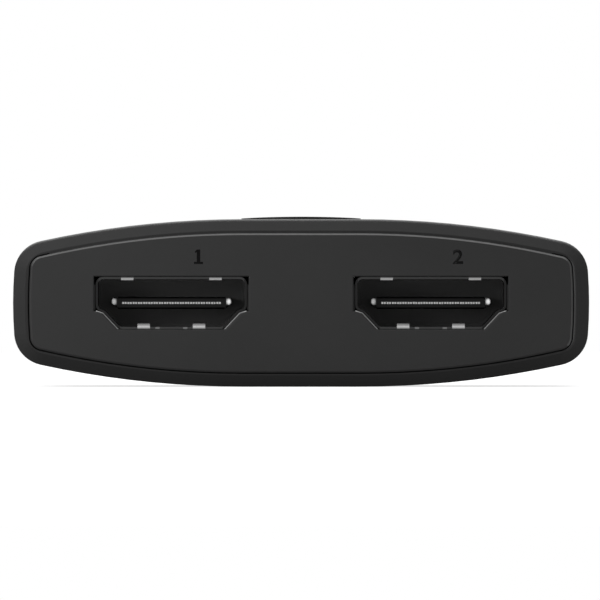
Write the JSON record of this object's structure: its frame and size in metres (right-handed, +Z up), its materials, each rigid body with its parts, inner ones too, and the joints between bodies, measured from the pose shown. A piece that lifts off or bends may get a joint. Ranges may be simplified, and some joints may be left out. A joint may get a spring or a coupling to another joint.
{
  "type": "hdmi switch",
  "caption": "Small black switch box for video sources: a bowed tube with a bevelled rim, snap-in end panels with video receptacles and a round select button on top.",
  "frame": {"origin": "middle of the footprint, on the plane that the underside rests on", "axes": "+X to the right seen from the front, -Y towards the front panel, +Z up"},
  "size_m": [0.055, 0.0524, 0.0163],
  "materials": {
    "sleeve_plastic": "satin black moulded plastic",
    "panel_plastic": "satin black moulded plastic",
    "button_plastic": "satin black moulded plastic",
    "board": "dark green solder mask",
    "shell_metal": "plated stamped sheet",
    "plate_metal": "bright stamped sheet",
    "insulator_plastic": "black moulded plastic",
    "contact_metal": "gold-plated",
    "switch_plastic": "black moulded plastic",
    "chip_resin": "moulded resin",
    "capacitor_body": "fired ceramic, here as a hard plastic",
    "lamp": "clear over a white base",
    "light_pipe": "frosted clear"
  },
  "bodies": {
    "housing": {"outer_sleeve": "sleeve_plastic", "front_panel": "panel_plastic", "rear_panel": "panel_plastic", "circuit_board": "board", "input_1_shell": "shell_metal", "input_1_insulator": "insulator_plastic", "input_1_contacts": "contact_metal", "input_1_mid_plate": "plate_metal", "input_2_shell": "shell_metal", "input_2_insulator": "insulator_plastic", "input_2_contacts": "contact_metal", "input_2_mid_plate": "plate_metal", "output_shell": "shell_metal", "output_insulator": "insulator_plastic", "output_contacts": "contact_metal", "output_mid_plate": "plate_metal", "switch_case": "switch_plastic", "switch_cover": "plate_metal", "switch_dome": "plate_metal", "switch_terminals": "plate_metal", "port_1_lamp": "lamp", "port_2_lamp": "lamp", "light_pipe_1": "light_pipe", "light_pipe_2": "light_pipe", "switch_chip": "chip_resin", "support_chips": "chip_resin", "chip_capacitors": "capacitor_body"},
    "button": {"select_button": "button_plastic"},
    "plunger": {"switch_plunger": "switch_plastic"}
  },
  "joints": [
    {"name": "select_button_press", "type": "slide", "parent": "housing", "child": "button", "axis": [0, 0, -1], "range_m": [0, 0.00025], "stiffness_N_per_m": 1000, "springref_m": -0.001},
    {"name": "plunger_press", "type": "slide", "parent": "housing", "child": "plunger", "axis": [0, 0, -1], "range_m": [0, 0.00025], "deforming": ["switch_dome"]}
  ],
  "couplings": [
    {"joint": "plunger_press", "follows": "select_button_press", "ratio": 1}
  ]
}
